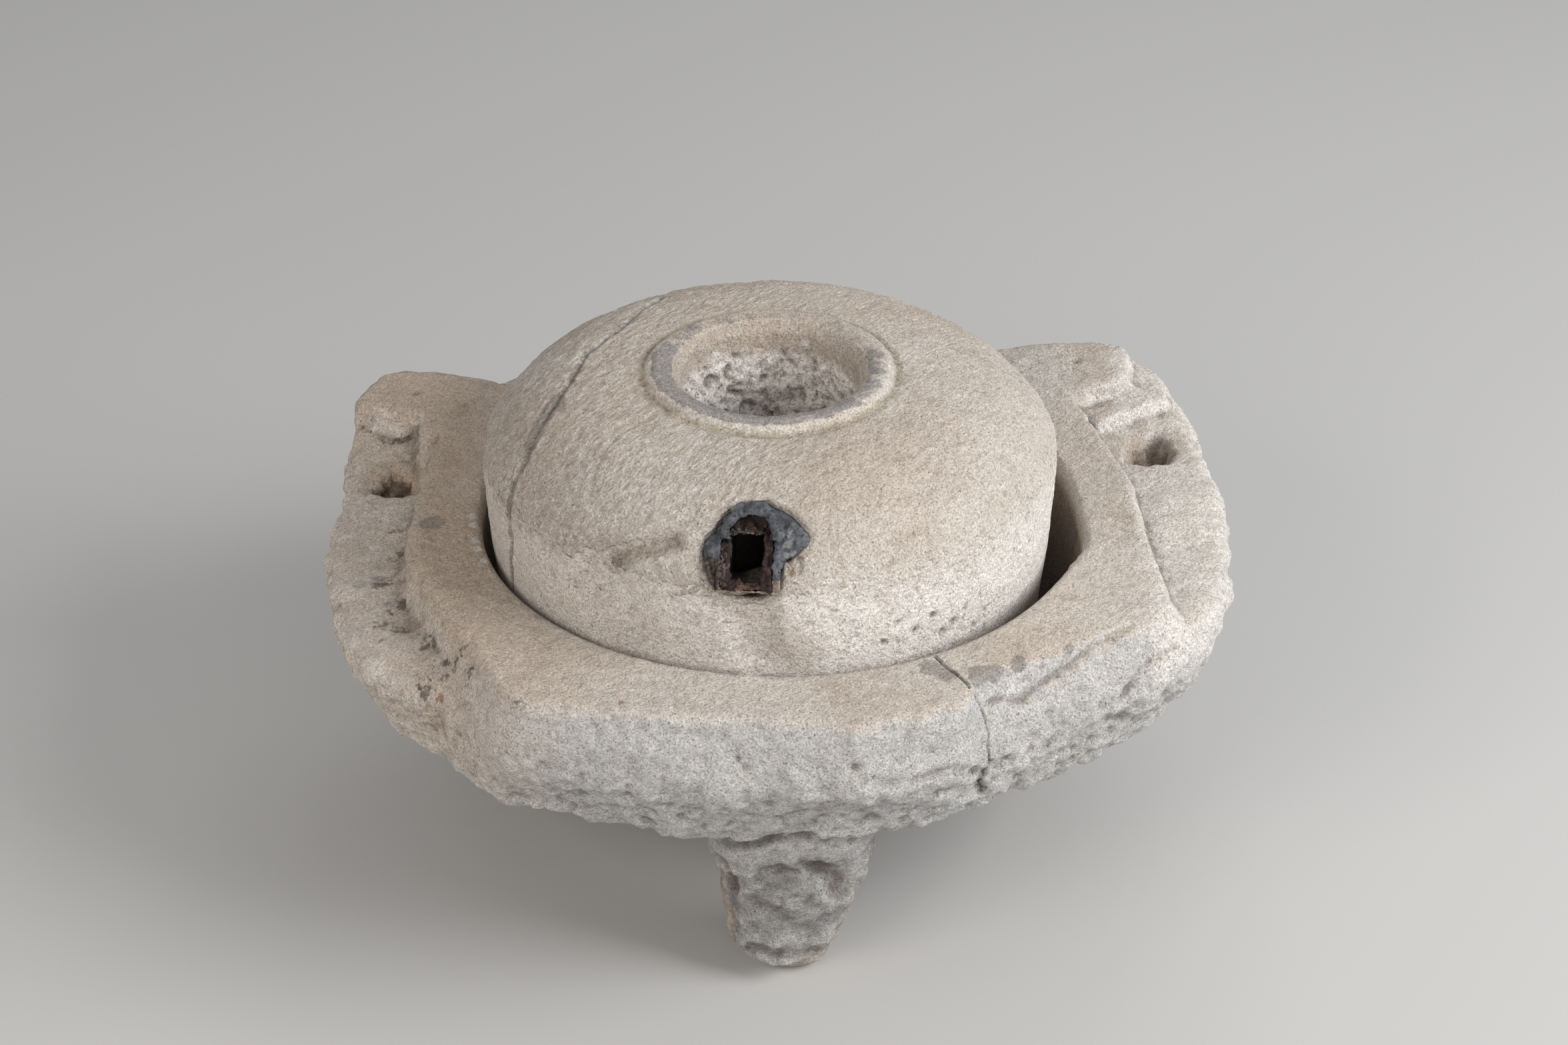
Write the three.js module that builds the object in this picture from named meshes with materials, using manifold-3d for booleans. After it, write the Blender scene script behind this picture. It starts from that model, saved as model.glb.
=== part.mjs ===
import * as THREE from 'three';
import { mergeVertices } from 'three/addons/utils/BufferGeometryUtils.js';
import Module from 'manifold-3d';

const wasm = await Module();
wasm.setup();

// Millimetres, +Z up, ground at z = 0, the basin's mouth centred on the Z axis.
// Azimuths are degrees round +Z from +X, so -90 is the front with the handle socket.
const RIM_HEIGHT = 250;
const MOUTH_RADIUS = 210;
const MOUTH_CORNER = 6;
const MOUTH_CORNER_AZIMUTH = -13;
const BASIN_DEPTH = 85;
const BASIN_FLOOR_RADIUS = 201;
const LOWER_EDGE_DEPTH = 108;
const UNDERSIDE_DEPTH = 138;
const AZIMUTH_STEPS = 144;
const CLEARANCE = 0.3;

const RUNNER_AXIS = new THREE.Vector2(-6.7, -5);
const SHOULDER_RADIUS = 199.8;
const SHOULDER_HEIGHT = 59.5;
const CROWN_HEIGHT = 112.5;
const CROWN_POWER = 5.9;
const COLLAR_RADIUS = 87.7;
const COLLAR_CREST_RADIUS = 77.2;
const COLLAR_CREST_HEIGHT = 118;
const HOPPER_RADIUS = 62;
const HOPPER_DEPTH = 128;
const EYE_RADIUS = 28;
const RUNNER_SEGMENTS = 68;

const SOCKET_AZIMUTH = -94;
const SOCKET_TILT = 30;
const SOCKET_RADIUS = 184.5;
const SOCKET_HEIGHT = 79.5;
const SOCKET_DEPTH = 62;
const SOCKET_END = 6;
const CUT_REACH = 60;
const LEAD_DEPTH = 34;
const LEAD_PROUD = 1.6;
const IRON_PROUD = 1;

const LEG_RADIUS = 187;
const LEG_AZIMUTHS = [-88, 32, 152];
const LEG_SIDES = 16;

// Plan corners of the rim's flat top and of the block's lower edge, from the mouth's centre.
const RIM_PLAN = [
  [-260, -15], [-255, -70], [-222, -150], [-176, -242], [-79, -259], [14, -269], [53, -274],
  [120, -246], [127, -222], [152, -201], [262, -143], [266, -125], [256, -36], [252, 40],
  [228, 126], [217, 164], [137, 237], [72, 263], [0, 272], [-72, 264], [-139, 239], [-221, 172],
  [-250, 106],
];
const LOWER_PLAN = [
  [-300, 0], [-270, -104], [-186, -200], [-60, -241], [56, -242], [135, -201], [205, -155],
  [259, -105], [286, 0], [286, 61], [270, 156], [234, 218], [153, 218], [80, 246], [0, 257],
  [-80, 246], [-150, 214], [-198, 178], [-240, 181], [-282, 156], [-294, 80],
];

// The side lugs: distance of the flank and the back end, corner reach, front reach, front end.
const LUGS = [
  { sign: -1, flank: 318, back: 200, corner: 357, front: 317, fadeFrom: 28, fadeTo: 44 },
  { sign: 1, flank: 313, back: 247, corner: 358, front: 316, fadeFrom: 24, fadeTo: 36 },
];
const FACE_BULGE = 9;
const FACE_BULGE_DEPTH = 45;
const LUG_ROUND = 9;

// Drop of the ledge outside the rim, by azimuth: level at the bosses, sunk along the shelves.
const STEP_STATIONS = [
  [-180, 27], [-160, 31], [-146, 26], [-130, 9], [-90, 8], [-55, 12], [-28, 9], [-8, 15],
  [12, 15], [24, 21], [33, 20], [36, 0], [51, 0], [58, 8], [138, 8], [141, 0], [147, -3],
  [155, 0], [159.5, 17], [170, 24],
];

// Plan corners of the two socket hollows beside the rim, above the shelf and at their floor.
const HOLLOWS = [
  {
    top: [[-300, 57], [-268, 55], [-262, 80], [-266, 112], [-290, 114], [-302, 86]],
    floor: [[-290, 58], [-272, 57], [-270, 66], [-272, 76], [-286, 77], [-291, 67]],
    floorDepth: 66,
  },
  {
    top: [[252, 96], [263, 84], [288, 87], [296, 116], [290, 150], [270, 150], [256, 118]],
    floor: [[262, 94], [268, 90], [283, 92], [286, 104], [282, 117], [268, 117], [261, 104]],
    floorDepth: 58,
  },
];

// Half width, half depth and height of a leg, from the foot upward.
const LEG_RINGS = [
  [17, 17, 0], [27, 24, 8], [38.5, 29, 24], [45, 34, 55], [51, 40, 87], [60, 48, 128], [62, 50, 140],
];

// Corners of the poured lead and the iron in the plane square to the socket's own axis.
const LEAD_OUTLINE = [
  [-29, 4], [-27, 7.5], [-21, 11], [-21, 15], [-17, 20.5], [-12, 26], [-7, 30.2], [0, 31.4],
  [10.7, 31.1], [16.8, 28], [22.8, 26.7], [31, 19.5], [35, 17.6], [36, 12.9], [38.3, 6.9],
  [33.5, 3.9], [30.5, 0.6], [24.5, -0.9], [21, -5.6], [19.5, -10.5], [19, -20], [18.5, -26],
  [-21, -26], [-26, -11.6], [-28.8, -2.2],
];
const IRON_CENTRE = -1.8;
const IRON_HALF_WIDTH = 16.5;
const IRON_BOTTOM = -24;
const IRON_TOP = 24;
const IRON_HOLE_HALF_WIDTH = 11.4;
const IRON_HOLE_BOTTOM = -19.5;
const IRON_HOLE_TOP = 12.5;

const stone = new THREE.MeshStandardMaterial({ color: 0xcdc0ac, roughness: 0.95, metalness: 0 });
const runnerStone = new THREE.MeshStandardMaterial({ color: 0xd2c6b4, roughness: 0.95, metalness: 0 });
const lead = new THREE.MeshStandardMaterial({ color: 0x4a4d52, roughness: 0.6, metalness: 0.6 });
const iron = new THREE.MeshStandardMaterial({ color: 0x3f302a, roughness: 0.8, metalness: 0.5 });

const rad = THREE.MathUtils.degToRad;

function around(stations, azimuth) {
  const count = stations.length;
  let value = stations[0][1];
  for (let i = 0; i < count; i += 1) {
    const [from, u] = stations[i];
    const [next, v] = stations[(i + 1) % count];
    const to = i + 1 < count ? next : next + 360;
    if (azimuth >= from && azimuth < to) {
      value = THREE.MathUtils.lerp(u, v, (azimuth - from) / (to - from));
    }
  }
  return value;
}

// Distance from the middle to a plan outline, looking along an azimuth.
function planRadius(corners, azimuth) {
  const look = new THREE.Vector2(Math.cos(rad(azimuth)), Math.sin(rad(azimuth)));
  const count = corners.length;
  let radius = 0;
  for (let i = 0; i < count; i += 1) {
    const a = new THREE.Vector2(...corners[i]);
    const side = new THREE.Vector2(...corners[(i + 1) % count]).sub(a);
    const turn = look.cross(side);
    const reach = a.cross(side) / turn;
    const along = a.cross(look) / turn;
    if (reach > 0 && along >= 0 && along <= 1) {
      radius = Math.max(radius, reach);
    }
  }
  return radius;
}

// How far a lug stands out along an azimuth, and how fully the azimuth lies on the lug.
function lugAt(lug, azimuth) {
  const angle = rad(azimuth);
  const out = lug.sign * Math.cos(angle);
  const behind = Math.sin(angle);
  if (out < 0.2) {
    return { reach: 0, share: 0 };
  }
  const limit = behind > 0 ? Math.min(lug.corner, lug.back / Math.max(behind, 0.01)) : lug.front;
  const reach = Math.min(lug.flank / out, limit);
  const frontAngle = -THREE.MathUtils.radToDeg(Math.atan2(behind, out));
  const share = 1 - THREE.MathUtils.smoothstep(frontAngle, lug.fadeFrom, lug.fadeTo);
  return { reach, share };
}

// A closed skin over rings of equal count, shut at both ends by flat fans.
function skin(rings) {
  const count = rings[0].length;
  const positions = [];
  const index = [];
  for (const ring of rings) {
    for (const point of ring) {
      positions.push(point.x, point.y, point.z);
    }
  }
  for (let k = 0; k + 1 < rings.length; k += 1) {
    for (let i = 0; i < count; i += 1) {
      const j = (i + 1) % count;
      const a = k * count + i;
      const b = k * count + j;
      const c = a + count;
      const d = b + count;
      index.push(a, b, d, a, d, c);
    }
  }
  const ends = [rings[0], rings[rings.length - 1]];
  ends.forEach((ring, end) => {
    const middle = new THREE.Vector3();
    for (const point of ring) {
      middle.addScaledVector(point, 1 / count);
    }
    const hub = positions.length / 3;
    positions.push(middle.x, middle.y, middle.z);
    const first = end === 0 ? 0 : (rings.length - 1) * count;
    for (let i = 0; i < count; i += 1) {
      const j = (i + 1) % count;
      if (end === 0) {
        index.push(hub, first + j, first + i);
      } else {
        index.push(hub, first + i, first + j);
      }
    }
  });
  const geometry = new THREE.BufferGeometry();
  geometry.setAttribute('position', new THREE.Float32BufferAttribute(positions, 3));
  geometry.setIndex(index);
  return geometry;
}

function solid(geometry) {
  let shape = geometry.clone();
  shape.deleteAttribute('normal');
  shape.deleteAttribute('uv');
  shape = mergeVertices(shape, 1e-4);
  const mesh = new wasm.Mesh({
    numProp: 3,
    vertProperties: new Float32Array(shape.attributes.position.array),
    triVerts: new Uint32Array(shape.index.array),
  });
  return new wasm.Manifold(mesh);
}

function node(name, shape, material) {
  const cut = shape.getMesh();
  let geometry = new THREE.BufferGeometry();
  geometry.setAttribute('position', new THREE.Float32BufferAttribute(cut.vertProperties, 3));
  geometry.setIndex(Array.from(cut.triVerts));
  geometry = mergeVertices(geometry, 1e-4);
  geometry.computeVertexNormals();
  const mesh = new THREE.Mesh(geometry, material);
  mesh.name = name;
  return mesh;
}

function polar(radius, azimuth, z) {
  const angle = rad(azimuth);
  return new THREE.Vector3(radius * Math.cos(angle), radius * Math.sin(angle), z);
}

// The basin block: its skin runs from the grinding floor over the rim and down to the underside.
function blockProfile(azimuth) {
  const rim = planRadius(RIM_PLAN, azimuth);
  const lower = planRadius(LOWER_PLAN, azimuth);
  const step = around(STEP_STATIONS, azimuth);
  let shelf = rim + FACE_BULGE;
  let drop = FACE_BULGE_DEPTH;
  for (const lug of LUGS) {
    const { reach, share } = lugAt(lug, azimuth);
    if (share > 0 && reach > shelf) {
      shelf = THREE.MathUtils.lerp(shelf, reach, share);
      drop = THREE.MathUtils.lerp(drop, step + LUG_ROUND, share);
    }
  }
  const corner = MOUTH_CORNER * Math.exp(-(((azimuth - MOUTH_CORNER_AZIMUTH) / 9) ** 2));
  const mouth = MOUTH_RADIUS + corner;
  return [
    [BASIN_FLOOR_RADIUS * 0.5, -BASIN_DEPTH],
    [BASIN_FLOOR_RADIUS, -BASIN_DEPTH],
    [mouth, -4],
    [mouth + 3, 0],
    [rim - 4, 0],
    [rim, -Math.min(4, 0.4 * step)],
    [rim + 2, -step],
    [shelf - 5, -Math.max(drop - 8, step)],
    [shelf, -drop - 4],
    [(shelf + lower) / 2 + 6, -Math.max(drop + 14, 62)],
    [lower, -LOWER_EDGE_DEPTH],
    [lower * 0.8, -UNDERSIDE_DEPTH + 6],
    [lower * 0.4, -UNDERSIDE_DEPTH],
  ];
}

function basinBlock() {
  const rings = [];
  for (let i = 0; i < AZIMUTH_STEPS; i += 1) {
    const azimuth = -180 + (360 * i) / AZIMUTH_STEPS;
    blockProfile(azimuth).reverse().forEach(([radius, z], k) => {
      rings[k] = rings[k] ?? [];
      rings[k].push(polar(radius, azimuth, RIM_HEIGHT + z));
    });
  }
  return solid(skin(rings));
}

function leg(azimuth) {
  const rings = LEG_RINGS.map(([halfWidth, halfDepth, z]) => {
    const ring = [];
    for (let i = 0; i < LEG_SIDES; i += 1) {
      const angle = (2 * Math.PI * i) / LEG_SIDES;
      const c = Math.cos(angle);
      const s = Math.sin(angle);
      const along = halfDepth * Math.sign(c) * Math.abs(c) ** 0.7;
      const across = halfWidth * Math.sign(s) * Math.abs(s) ** 0.7;
      ring.push(new THREE.Vector3(along, across, z));
    }
    return ring;
  });
  const geometry = skin(rings);
  geometry.translate(LEG_RADIUS, 0, 0);
  geometry.rotateZ(rad(azimuth));
  return solid(geometry);
}

function hollow({ top, floor, floorDepth }) {
  const at = (corners, z) => corners.map(([x, y]) => new THREE.Vector3(x, y, RIM_HEIGHT + z));
  const floorRing = at(floor, -floorDepth);
  const topRing = at(top, 12);
  const geometry = skin([floorRing, topRing]);
  let shape = solid(geometry);
  if (shape.volume() < 0) {
    geometry.setIndex(Array.from(geometry.index.array).reverse());
    shape = solid(geometry);
  }
  return shape;
}

function lowerStone() {
  let shape = basinBlock();
  for (const azimuth of LEG_AZIMUTHS) {
    shape = shape.add(leg(azimuth));
  }
  for (const place of HOLLOWS) {
    shape = shape.subtract(hollow(place));
  }
  return shape;
}

function crown(radius) {
  return CROWN_HEIGHT - (CROWN_HEIGHT - SHOULDER_HEIGHT) * (radius / SHOULDER_RADIUS) ** CROWN_POWER;
}

// Outside of the runner from its grinding face up to the collar, as radius and height over the rim.
function runnerSide(grow) {
  const base = -BASIN_DEPTH + CLEARANCE;
  const side = [
    [186, base], [189.5, base + 6], [192.5, -40], [196, -8], [199, 24], [SHOULDER_RADIUS, 44],
  ];
  const dome = [199.8, 198, 195, 190, 183, 172, 158, 142, 124, 106, 92];
  dome.forEach((radius) => side.push([radius, crown(radius)]));
  return side.map(([radius, z]) => new THREE.Vector2(radius + grow, RIM_HEIGHT + z + grow));
}

function turned(points) {
  const geometry = new THREE.LatheGeometry(points, RUNNER_SEGMENTS);
  geometry.rotateX(Math.PI / 2);
  geometry.translate(RUNNER_AXIS.x, RUNNER_AXIS.y, 0);
  return solid(geometry);
}

function runnerBlank() {
  const base = -BASIN_DEPTH + CLEARANCE;
  const top = CROWN_HEIGHT;
  const collar = [
    [COLLAR_RADIUS, crown(COLLAR_RADIUS) - 2], [84, COLLAR_CREST_HEIGHT - 2.5],
    [COLLAR_CREST_RADIUS, COLLAR_CREST_HEIGHT], [68, COLLAR_CREST_HEIGHT - 2.5],
    [HOPPER_RADIUS, top - 3], [HOPPER_RADIUS - 2, top - 30],
    [HOPPER_RADIUS - 6, top - HOPPER_DEPTH + 24], [EYE_RADIUS + 6, top - HOPPER_DEPTH],
    [EYE_RADIUS, top - HOPPER_DEPTH - 12], [EYE_RADIUS, base],
  ].map(([radius, z]) => new THREE.Vector2(radius, RIM_HEIGHT + z));
  const loop = [...runnerSide(0), ...collar];
  loop.push(loop[0].clone());
  return turned(loop);
}

function domeEnvelope(grow) {
  const side = runnerSide(grow);
  const base = new THREE.Vector2(0, side[0].y);
  const top = new THREE.Vector2(0, side[side.length - 1].y);
  return turned([base, ...side, top]);
}

// Stands an outline of the socket's own plane on the runner's shoulder, reaching inward to a depth.
function prism(corners, outward, depth) {
  const shape = new THREE.Shape(corners.map(([x, y]) => new THREE.Vector2(x, y)));
  const geometry = new THREE.ExtrudeGeometry(shape, {
    depth: outward + depth, bevelEnabled: false, steps: 1, curveSegments: 1,
  });
  geometry.translate(0, 0, -depth);
  const radial = polar(1, SOCKET_AZIMUTH, 0);
  const up = new THREE.Vector3(0, 0, 1);
  const axis = radial.clone().multiplyScalar(Math.cos(rad(SOCKET_TILT)));
  axis.addScaledVector(up, Math.sin(rad(SOCKET_TILT)));
  const across = new THREE.Vector3().crossVectors(up, radial).normalize();
  const rise = new THREE.Vector3().crossVectors(axis, across);
  const place = new THREE.Matrix4().makeBasis(across, rise, axis);
  place.setPosition(
    RUNNER_AXIS.x + SOCKET_RADIUS * radial.x,
    RUNNER_AXIS.y + SOCKET_RADIUS * radial.y,
    RIM_HEIGHT + SOCKET_HEIGHT,
  );
  geometry.applyMatrix4(place);
  return solid(geometry);
}

// Moves an outline inward by a distance, or outward if the distance is negative.
function inset(corners, distance) {
  const points = corners.map(([x, y]) => new THREE.Vector2(x, y));
  const winding = Math.sign(THREE.ShapeUtils.area(points));
  const count = points.length;
  return points.map((point, i) => {
    const before = point.clone().sub(points[(i + count - 1) % count]).normalize();
    const after = points[(i + 1) % count].clone().sub(point).normalize();
    const normal = new THREE.Vector2(-before.y - after.y, before.x + after.x);
    const open = Math.max(0.5, normal.length() / 2);
    normal.normalize().multiplyScalar((winding * distance) / open);
    return [point.x + normal.x, point.y + normal.y];
  });
}

function ironBox(halfWidth, bottom, top) {
  const left = IRON_CENTRE - halfWidth;
  const right = IRON_CENTRE + halfWidth;
  return [[left, bottom], [right, bottom], [right, top], [left, top]];
}

const ironOutline = ironBox(IRON_HALF_WIDTH, IRON_BOTTOM, IRON_TOP);
const ironHole = ironBox(IRON_HOLE_HALF_WIDTH, IRON_HOLE_BOTTOM, IRON_HOLE_TOP);

function upperStone() {
  return runnerBlank()
    .subtract(prism(LEAD_OUTLINE, CUT_REACH, LEAD_DEPTH))
    .subtract(prism(inset(ironOutline, -CLEARANCE), CUT_REACH, SOCKET_DEPTH));
}

function leadSetting() {
  return prism(inset(LEAD_OUTLINE, CLEARANCE), CUT_REACH, LEAD_DEPTH - CLEARANCE)
    .intersect(domeEnvelope(LEAD_PROUD))
    .subtract(prism(inset(ironOutline, -CLEARANCE), CUT_REACH, SOCKET_DEPTH));
}

function ironSocket() {
  return prism(ironOutline, CUT_REACH, SOCKET_DEPTH - CLEARANCE)
    .intersect(domeEnvelope(IRON_PROUD))
    .subtract(prism(ironHole, CUT_REACH, SOCKET_DEPTH - SOCKET_END));
}

const quern = new THREE.Group();
quern.name = 'rotary_quern';
quern.add(
  node('lower_stone', lowerStone(), stone),
  node('upper_stone', upperStone(), runnerStone),
  node('lead_setting', leadSetting(), lead),
  node('iron_socket', ironSocket(), iron),
);

// The ground point under the middle of the whole outline is the origin.
const bounds = new THREE.Box3().setFromObject(quern);
const middle = bounds.getCenter(new THREE.Vector3());
for (const piece of quern.children) {
  piece.geometry.translate(-middle.x, -middle.y, -bounds.min.z);
}

export default quern;
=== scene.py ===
import math
import bpy
import numpy as np
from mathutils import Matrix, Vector
from mathutils.bvhtree import BVHTree
from mathutils.kdtree import KDTree


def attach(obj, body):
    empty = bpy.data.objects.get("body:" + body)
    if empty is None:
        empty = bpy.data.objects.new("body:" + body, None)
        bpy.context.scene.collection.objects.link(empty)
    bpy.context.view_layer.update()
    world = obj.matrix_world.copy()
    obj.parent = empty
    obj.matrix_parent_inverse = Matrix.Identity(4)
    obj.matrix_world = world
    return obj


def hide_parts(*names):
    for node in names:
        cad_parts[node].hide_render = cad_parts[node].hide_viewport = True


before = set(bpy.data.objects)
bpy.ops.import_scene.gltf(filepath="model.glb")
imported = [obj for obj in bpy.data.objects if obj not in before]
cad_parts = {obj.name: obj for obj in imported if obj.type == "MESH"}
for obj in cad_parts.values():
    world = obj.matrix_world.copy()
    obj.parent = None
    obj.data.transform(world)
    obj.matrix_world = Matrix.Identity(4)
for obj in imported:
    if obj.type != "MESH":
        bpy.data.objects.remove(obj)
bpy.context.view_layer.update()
print("frame loaded:", sorted(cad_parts))

mouthCentre = np.array((0.0025, 0.000624, 0.250))
runnerAxis = np.array((-0.0042, -0.004376, 0.0))


# picking, modifiers and mesh reading

def onlyPick(obj):
    if bpy.context.mode != "OBJECT":
        bpy.ops.object.mode_set(mode="OBJECT")
    bpy.ops.object.select_all(action="DESELECT")
    obj.select_set(True)
    bpy.context.view_layer.objects.active = obj


def applied(piece, kind, **settings):
    onlyPick(piece)
    modifier = piece.modifiers.new(kind.lower(), kind)
    for setting, value in settings.items():
        setattr(modifier, setting, value)
    bpy.ops.object.modifier_apply(modifier=modifier.name)


def solidCopy(nodeName, pieceName):  # a merged copy of one solid of the frame
    piece = bpy.data.objects.new(pieceName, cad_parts[nodeName].data.copy())
    piece.data.name = pieceName
    piece.data.materials.clear()
    bpy.context.scene.collection.objects.link(piece)
    onlyPick(piece)
    bpy.ops.object.mode_set(mode="EDIT")
    bpy.ops.mesh.select_all(action="SELECT")
    bpy.ops.mesh.remove_doubles(threshold=0.00001)
    bpy.ops.object.mode_set(mode="OBJECT")
    return piece


def evenMesh(piece, voxel, softRounds):
    applied(piece, "REMESH", mode="VOXEL", voxel_size=voxel)
    applied(piece, "SMOOTH", factor=0.5, iterations=softRounds)


def carve(piece, operation, floor, roof):  # cut or add a block: left and right corners, front then back
    bpy.ops.object.select_all(action="DESELECT")
    bpy.ops.mesh.primitive_cube_add(size=1)
    block = bpy.context.object
    for vertex in block.data.vertices:
        corner = (vertex.co.x > 0) + 2 * (vertex.co.y > 0)
        vertex.co = roof[corner] if vertex.co.z > 0 else floor[corner]
    applied(piece, "BOOLEAN", operation=operation, object=block, solver="EXACT")
    bpy.data.objects.remove(block)


def places(piece):
    flat = np.empty(len(piece.data.vertices) * 3, np.float32)
    piece.data.vertices.foreach_get("co", flat)
    return flat.reshape(-1, 3).astype(float)


def facings(piece):
    flat = np.empty(len(piece.data.vertices) * 3, np.float32)
    piece.data.vertex_normals.foreach_get("vector", flat)
    return flat.reshape(-1, 3).astype(float)


def put(piece, co):
    piece.data.vertices.foreach_set("co", co.astype(np.float32).ravel())
    piece.data.update()


def ease(value, low, high):  # 0 at low, 1 at high, smooth between
    t = np.clip((value - low) / (high - low), 0, 1)
    return t * t * (3 - 2 * t)


def awayFrom(co, middle):  # plan distance from an upright axis
    return np.hypot(co[:, 0] - middle[0], co[:, 1] - middle[1])


def treeOf(points):
    tree = KDTree(len(points))
    for i, point in enumerate(points):
        tree.insert(point, i)
    tree.balance()
    return tree


def gapTo(co, chosen):  # distance from each point to the nearest chosen one
    tree = treeOf(chosen)
    return np.array([tree.find(point)[2] for point in co])


def weigh(piece, name, weights, levels=25):
    group = piece.vertex_groups.get(name) or piece.vertex_groups.new(name=name)
    steps = np.round(np.clip(weights, 0, 1) * levels).astype(int)
    for step in range(1, levels + 1):
        found = np.nonzero(steps == step)[0]
        if len(found):
            group.add(found.tolist(), step / levels, "REPLACE")


def swell(piece, group, height):
    applied(piece, "DISPLACE", strength=height, mid_level=0, vertex_group=group)


def roughen(piece, layers):  # texture, grain, height, vertex group, stretch along x, slant
    for kind, size, height, group, stretch, slant in layers:
        texture = bpy.data.textures.new(piece.name + kind.title(), kind)
        texture.noise_scale = size
        if kind == "CLOUDS":
            texture.noise_depth = 3
        bpy.ops.object.select_all(action="DESELECT")
        bpy.ops.object.empty_add(rotation=(0, math.radians(slant), 0), scale=(stretch, 1, 1))
        grain = bpy.context.object
        bpy.context.view_layer.update()
        applied(piece, "DISPLACE", texture=texture, strength=height, mid_level=0.5,
                texture_coords="OBJECT", texture_coords_object=grain, vertex_group=group)
        bpy.data.objects.remove(grain)


def thinned(piece, triangles, hidden, least=0.12):  # fewer faces, most of them taken where nobody looks
    weigh(piece, "hidden", least + (1 - least) * hidden)
    faces = sum(len(face.vertices) - 2 for face in piece.data.polygons)
    print(piece.name, "has", faces, "triangles before thinning")
    applied(piece, "DECIMATE", ratio=min(1.0, triangles / faces), vertex_group="hidden",
            vertex_group_factor=1.0)


def nearLine(co, path):
    best = np.full(len(co), 9.0)
    for start, end in zip(path[:-1], path[1:]):
        a, side = np.array(start), np.array(end) - np.array(start)
        t = np.clip(((co - a) @ side) / max(side @ side, 1e-12), 0, 1)
        best = np.minimum(best, np.linalg.norm(co - a - t[:, None] * side, axis=1))
    return best


def laidOn(piece, path, step=0.003):  # a drawn line, cut short and dropped onto the surface
    skin = BVHTree.FromObject(piece, bpy.context.evaluated_depsgraph_get())
    laid = []
    for start, end in zip(path[:-1], path[1:]):
        start, end = Vector(start), Vector(end)
        count = max(1, round((end - start).length / step))
        for i in range(count):
            laid.append(skin.find_nearest(start.lerp(end, i / count))[0])
    laid.append(skin.find_nearest(Vector(path[-1]))[0])
    return [tuple(point) for point in laid]


def laidMarks(piece, marks):  # marks moved onto the surface
    skin = BVHTree.FromObject(piece, bpy.context.evaluated_depsgraph_get())
    return [(*skin.find_nearest(Vector((x, y, z)))[0], radius) for x, y, z, radius in marks]


def refineNear(piece, near, cuts):  # finer faces where the points are chosen
    onlyPick(piece)
    bpy.ops.object.mode_set(mode="EDIT")
    bpy.ops.mesh.select_mode(type="VERT")
    bpy.ops.mesh.select_all(action="DESELECT")
    bpy.ops.object.mode_set(mode="OBJECT")
    piece.data.vertices.foreach_set("select", near)
    bpy.ops.object.mode_set(mode="EDIT")
    bpy.ops.mesh.select_mode(type="FACE")
    bpy.ops.mesh.subdivide(number_cuts=cuts, ngon=False)
    bpy.ops.object.mode_set(mode="OBJECT")


def sink(piece, amount):  # press points in along their normals, amount in metres
    put(piece, places(piece) - facings(piece) * amount[:, None])


def cutLine(piece, path, halfWidth, depth, share=1.0):
    sink(piece, (1 - ease(nearLine(places(piece), path), halfWidth * 0.25, halfWidth)) * depth * share)


def spots(co, marks):  # marks are x, y, z, radius
    amount = np.zeros(len(co))
    for x, y, z, radius in marks:
        away = np.linalg.norm(co - np.array((x, y, z)), axis=1)
        amount = np.maximum(amount, 1 - ease(away, radius * 0.35, radius * 1.3))
    return amount


def sunk(piece, rounds):  # how far each point lies below its smoothed neighbourhood, in metres
    co, out = places(piece), facings(piece)
    pairs = np.empty(len(piece.data.edges) * 2, np.int32)
    piece.data.edges.foreach_get("vertices", pairs)
    a, b = pairs.reshape(-1, 2).T
    ends, others = np.r_[a, b], np.r_[b, a]
    count = np.maximum(np.bincount(ends, minlength=len(co)), 1)
    soft = co.copy()
    for _ in range(rounds):
        soft = np.stack([np.bincount(ends, weights=soft[others, i], minlength=len(co)) / count
                         for i in range(3)], 1)
    return ((soft - co) * out).sum(1)


def paint(piece, name, values):
    layer = piece.data.attributes.get(name) or piece.data.attributes.new(name, "FLOAT", "POINT")
    layer.data.foreach_set("value", np.clip(values, 0, 1).astype(np.float32))


def paintRelief(piece, fineDepth, wideDepth, keep=1.0):  # dirty hollows and rubbed crests
    fine, wide = sunk(piece, 3), sunk(piece, 22)
    paint(piece, "hollow", ease(fine, 0.0001, fineDepth) * 0.5 + ease(wide, 0.0005, wideDepth) * 0.6)
    crest = ease(-fine, 0.0001, fineDepth) * 0.4 + ease(-wide, 0.0005, wideDepth) * 0.6
    paint(piece, "crest", crest * keep)


def finished(piece, body, node):
    onlyPick(piece)
    bpy.ops.object.shade_smooth()
    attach(piece, body)
    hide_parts(node)
    count = sum(len(face.vertices) - 2 for face in piece.data.polygons)
    print(piece.name, "finished,", count, "triangles")


# shader nodes

def plug(tree, socket, value):
    if isinstance(value, bpy.types.NodeSocket):
        tree.links.new(value, socket)
    elif isinstance(value, tuple) and len(value) == 3 and socket.type == "RGBA":
        socket.default_value = (*value, 1)
    else:
        socket.default_value = value


def addNode(tree, kind, inputs, output=0, **settings):
    made = tree.nodes.new(kind)
    for setting, value in settings.items():
        setattr(made, setting, value)
    for socket, value in inputs.items():
        plug(tree, made.inputs[socket], value)
    return made.outputs[output]


def tint(tree, amount, under, over, blend="MIX"):
    made = tree.nodes.new("ShaderNodeMix")
    made.data_type = "RGBA"
    made.blend_type = blend
    plug(tree, made.inputs[0], amount)
    plug(tree, made.inputs[6], under)
    plug(tree, made.inputs[7], over)
    return made.outputs[2]


def maths(tree, kind, a, b=0.0):
    return addNode(tree, "ShaderNodeMath", {0: a, 1: b}, operation=kind)


def times(tree, a, b):
    return maths(tree, "MULTIPLY", a, b)


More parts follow.
